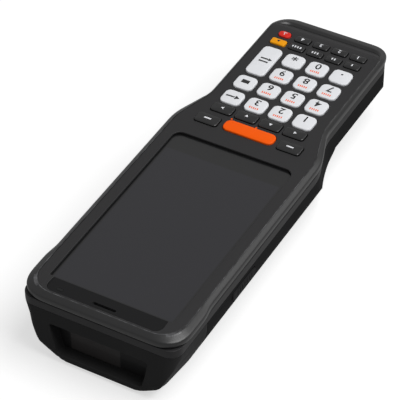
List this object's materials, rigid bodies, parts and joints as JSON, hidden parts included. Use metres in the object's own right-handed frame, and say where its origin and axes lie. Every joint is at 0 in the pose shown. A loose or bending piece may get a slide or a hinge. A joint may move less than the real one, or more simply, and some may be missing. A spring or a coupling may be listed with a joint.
{
  "type": "portable barcode data terminal",
  "caption": "Slim handheld terminal: touch display on a deep head, keypad on the handle, barcode window in the head's end, removable battery in its flat back.",
  "frame": {"origin": "centre of the whole terminal in plan, on the plane of its flat back", "axes": "+X to the user's right when the digits are upright, +Y from the keypad end towards the barcode window, +Z out of the display"},
  "size_m": [0.0758, 0.2178, 0.0375],
  "materials": {
    "front_plastic": "fine texture",
    "bumper_rubber": "satin moulded rubber",
    "rear_plastic": "fine texture",
    "cap_plastic": "fine texture",
    "screen_glass": "polished, printed black behind",
    "display_panel": "smooth",
    "seal_rubber": "smooth",
    "strip_plastic": "smooth",
    "light_lens": "smooth, milky",
    "circuit_board": "solder mask",
    "frame_metal": "cast",
    "reader_glass": "polished, dark tint",
    "engine_plastic": "smooth",
    "pack_plastic": "fine texture",
    "latch_plastic": "smooth",
    "button_rubber": "satin",
    "device_metal": "plain",
    "gold_contact": "plated",
    "screw_steel": "zinc plated",
    "insert_brass": "turned",
    "white_key": "smooth",
    "black_key": "smooth",
    "orange_key": "smooth",
    "amber_key": "smooth",
    "red_key": "smooth"
  },
  "bodies": {
    "housing": {"front_housing": "front_plastic", "bumper_band": "bumper_rubber", "rear_housing": "rear_plastic", "head_cap": "cap_plastic", "touch_glass": "screen_glass", "display_module": "display_panel", "display_gasket": "seal_rubber", "receiver_strip": "strip_plastic", "status_light": "light_lens", "keypad_mat": "seal_rubber", "keypad_board": "circuit_board", "chassis_frame": "frame_metal", "main_board": "circuit_board", "housing_seal": "seal_rubber", "scan_window": "reader_glass", "scan_engine": "engine_plastic", "engine_bracket": "frame_metal", "battery_pack": "pack_plastic", "button_boards": "circuit_board", "loudspeaker": "device_metal", "vibration_motor": "device_metal", "io_connector": "device_metal", "battery_contacts": "gold_contact", "housing_screws": "screw_steel", "strap_inserts": "insert_brass"},
    "scan_key_body": {"scan_key": "orange_key"},
    "soft_key_left_body": {"soft_key_left": "black_key"},
    "soft_key_right_body": {"soft_key_right": "black_key"},
    "arrow_key_left_body": {"arrow_key_left": "black_key"},
    "arrow_key_up_body": {"arrow_key_up": "black_key"},
    "arrow_key_down_body": {"arrow_key_down": "black_key"},
    "arrow_key_right_body": {"arrow_key_right": "black_key"},
    "digit_key_1_body": {"digit_key_1": "white_key"},
    "digit_key_2_body": {"digit_key_2": "white_key"},
    "digit_key_3_body": {"digit_key_3": "white_key"},
    "clear_key_body": {"clear_key": "white_key"},
    "digit_key_4_body": {"digit_key_4": "white_key"},
    "digit_key_5_body": {"digit_key_5": "white_key"},
    "digit_key_6_body": {"digit_key_6": "white_key"},
    "mode_key_body": {"mode_key": "white_key"},
    "digit_key_7_body": {"digit_key_7": "white_key"},
    "digit_key_8_body": {"digit_key_8": "white_key"},
    "digit_key_9_body": {"digit_key_9": "white_key"},
    "enter_key_body": {"enter_key": "white_key"},
    "point_key_body": {"point_key": "white_key"},
    "digit_key_0_body": {"digit_key_0": "white_key"},
    "star_key_body": {"star_key": "white_key"},
    "edit_key_1_body": {"edit_key_1": "black_key"},
    "edit_key_2_body": {"edit_key_2": "black_key"},
    "edit_key_3_body": {"edit_key_3": "black_key"},
    "edit_key_4_body": {"edit_key_4": "black_key"},
    "shift_key_body": {"shift_key": "amber_key"},
    "function_key_1_body": {"function_key_1": "black_key"},
    "function_key_2_body": {"function_key_2": "black_key"},
    "function_key_3_body": {"function_key_3": "black_key"},
    "function_key_4_body": {"function_key_4": "black_key"},
    "power_key_body": {"power_key": "red_key"},
    "battery_latch_body": {"battery_latch": "latch_plastic"},
    "left_scan_button_body": {"left_scan_button": "button_rubber"},
    "right_scan_button_body": {"right_scan_button": "button_rubber"}
  },
  "joints": [
    {"name": "scan_key_press", "type": "slide", "parent": "housing", "child": "scan_key_body", "axis": [0, 0, -1], "range_m": [0, 0.0006], "stiffness_N_per_m": 1200},
    {"name": "soft_key_left_press", "type": "slide", "parent": "housing", "child": "soft_key_left_body", "axis": [0, 0, -1], "range_m": [0, 0.0006], "stiffness_N_per_m": 1200},
    {"name": "soft_key_right_press", "type": "slide", "parent": "housing", "child": "soft_key_right_body", "axis": [0, 0, -1], "range_m": [0, 0.0006], "stiffness_N_per_m": 1200},
    {"name": "arrow_key_left_press", "type": "slide", "parent": "housing", "child": "arrow_key_left_body", "axis": [0, 0, -1], "range_m": [0, 0.0006], "stiffness_N_per_m": 1200},
    {"name": "arrow_key_up_press", "type": "slide", "parent": "housing", "child": "arrow_key_up_body", "axis": [0, 0, -1], "range_m": [0, 0.0006], "stiffness_N_per_m": 1200},
    {"name": "arrow_key_down_press", "type": "slide", "parent": "housing", "child": "arrow_key_down_body", "axis": [0, 0, -1], "range_m": [0, 0.0006], "stiffness_N_per_m": 1200},
    {"name": "arrow_key_right_press", "type": "slide", "parent": "housing", "child": "arrow_key_right_body", "axis": [0, 0, -1], "range_m": [0, 0.0006], "stiffness_N_per_m": 1200},
    {"name": "digit_key_1_press", "type": "slide", "parent": "housing", "child": "digit_key_1_body", "axis": [0, 0, -1], "range_m": [0, 0.0006], "stiffness_N_per_m": 1200},
    {"name": "digit_key_2_press", "type": "slide", "parent": "housing", "child": "digit_key_2_body", "axis": [0, 0, -1], "range_m": [0, 0.0006], "stiffness_N_per_m": 1200},
    {"name": "digit_key_3_press", "type": "slide", "parent": "housing", "child": "digit_key_3_body", "axis": [0, 0, -1], "range_m": [0, 0.0006], "stiffness_N_per_m": 1200},
    {"name": "clear_key_press", "type": "slide", "parent": "housing", "child": "clear_key_body", "axis": [0, 0, -1], "range_m": [0, 0.0006], "stiffness_N_per_m": 1200},
    {"name": "digit_key_4_press", "type": "slide", "parent": "housing", "child": "digit_key_4_body", "axis": [0, 0, -1], "range_m": [0, 0.0006], "stiffness_N_per_m": 1200},
    {"name": "digit_key_5_press", "type": "slide", "parent": "housing", "child": "digit_key_5_body", "axis": [0, 0, -1], "range_m": [0, 0.0006], "stiffness_N_per_m": 1200},
    {"name": "digit_key_6_press", "type": "slide", "parent": "housing", "child": "digit_key_6_body", "axis": [0, 0, -1], "range_m": [0, 0.0006], "stiffness_N_per_m": 1200},
    {"name": "mode_key_press", "type": "slide", "parent": "housing", "child": "mode_key_body", "axis": [0, 0, -1], "range_m": [0, 0.0006], "stiffness_N_per_m": 1200},
    {"name": "digit_key_7_press", "type": "slide", "parent": "housing", "child": "digit_key_7_body", "axis": [0, 0, -1], "range_m": [0, 0.0006], "stiffness_N_per_m": 1200},
    {"name": "digit_key_8_press", "type": "slide", "parent": "housing", "child": "digit_key_8_body", "axis": [0, 0, -1], "range_m": [0, 0.0006], "stiffness_N_per_m": 1200},
    {"name": "digit_key_9_press", "type": "slide", "parent": "housing", "child": "digit_key_9_body", "axis": [0, 0, -1], "range_m": [0, 0.0006], "stiffness_N_per_m": 1200},
    {"name": "enter_key_press", "type": "slide", "parent": "housing", "child": "enter_key_body", "axis": [0, 0, -1], "range_m": [0, 0.0006], "stiffness_N_per_m": 1200},
    {"name": "point_key_press", "type": "slide", "parent": "housing", "child": "point_key_body", "axis": [0, 0, -1], "range_m": [0, 0.0006], "stiffness_N_per_m": 1200},
    {"name": "digit_key_0_press", "type": "slide", "parent": "housing", "child": "digit_key_0_body", "axis": [0, 0, -1], "range_m": [0, 0.0006], "stiffness_N_per_m": 1200},
    {"name": "star_key_press", "type": "slide", "parent": "housing", "child": "star_key_body", "axis": [0, 0, -1], "range_m": [0, 0.0006], "stiffness_N_per_m": 1200},
    {"name": "edit_key_1_press", "type": "slide", "parent": "housing", "child": "edit_key_1_body", "axis": [0, 0, -1], "range_m": [0, 0.0006], "stiffness_N_per_m": 1200},
    {"name": "edit_key_2_press", "type": "slide", "parent": "housing", "child": "edit_key_2_body", "axis": [0, 0, -1], "range_m": [0, 0.0006], "stiffness_N_per_m": 1200},
    {"name": "edit_key_3_press", "type": "slide", "parent": "housing", "child": "edit_key_3_body", "axis": [0, 0, -1], "range_m": [0, 0.0006], "stiffness_N_per_m": 1200},
    {"name": "edit_key_4_press", "type": "slide", "parent": "housing", "child": "edit_key_4_body", "axis": [0, 0, -1], "range_m": [0, 0.0006], "stiffness_N_per_m": 1200},
    {"name": "shift_key_press", "type": "slide", "parent": "housing", "child": "shift_key_body", "axis": [0, 0, -1], "range_m": [0, 0.0006], "stiffness_N_per_m": 1200},
    {"name": "function_key_1_press", "type": "slide", "parent": "housing", "child": "function_key_1_body", "axis": [0, 0, -1], "range_m": [0, 0.0006], "stiffness_N_per_m": 1200},
    {"name": "function_key_2_press", "type": "slide", "parent": "housing", "child": "function_key_2_body", "axis": [0, 0, -1], "range_m": [0, 0.0006], "stiffness_N_per_m": 1200},
    {"name": "function_key_3_press", "type": "slide", "parent": "housing", "child": "function_key_3_body", "axis": [0, 0, -1], "range_m": [0, 0.0006], "stiffness_N_per_m": 1200},
    {"name": "function_key_4_press", "type": "slide", "parent": "housing", "child": "function_key_4_body", "axis": [0, 0, -1], "range_m": [0, 0.0006], "stiffness_N_per_m": 1200},
    {"name": "power_key_press", "type": "slide", "parent": "housing", "child": "power_key_body", "axis": [0, 0, -1], "range_m": [0, 0.0006], "stiffness_N_per_m": 1200},
    {"name": "battery_latch_slide", "type": "slide", "parent": "housing", "child": "battery_latch_body", "axis": [0, -1, 0], "range_m": [0, 0.003], "stiffness_N_per_m": 400},
    {"name": "left_scan_button_press", "type": "slide", "parent": "housing", "child": "left_scan_button_body", "axis": [1, 0, 0], "range_m": [0, 0.0005], "stiffness_N_per_m": 1500},
    {"name": "right_scan_button_press", "type": "slide", "parent": "housing", "child": "right_scan_button_body", "axis": [-1, 0, 0], "range_m": [0, 0.0005], "stiffness_N_per_m": 1500}
  ]
}
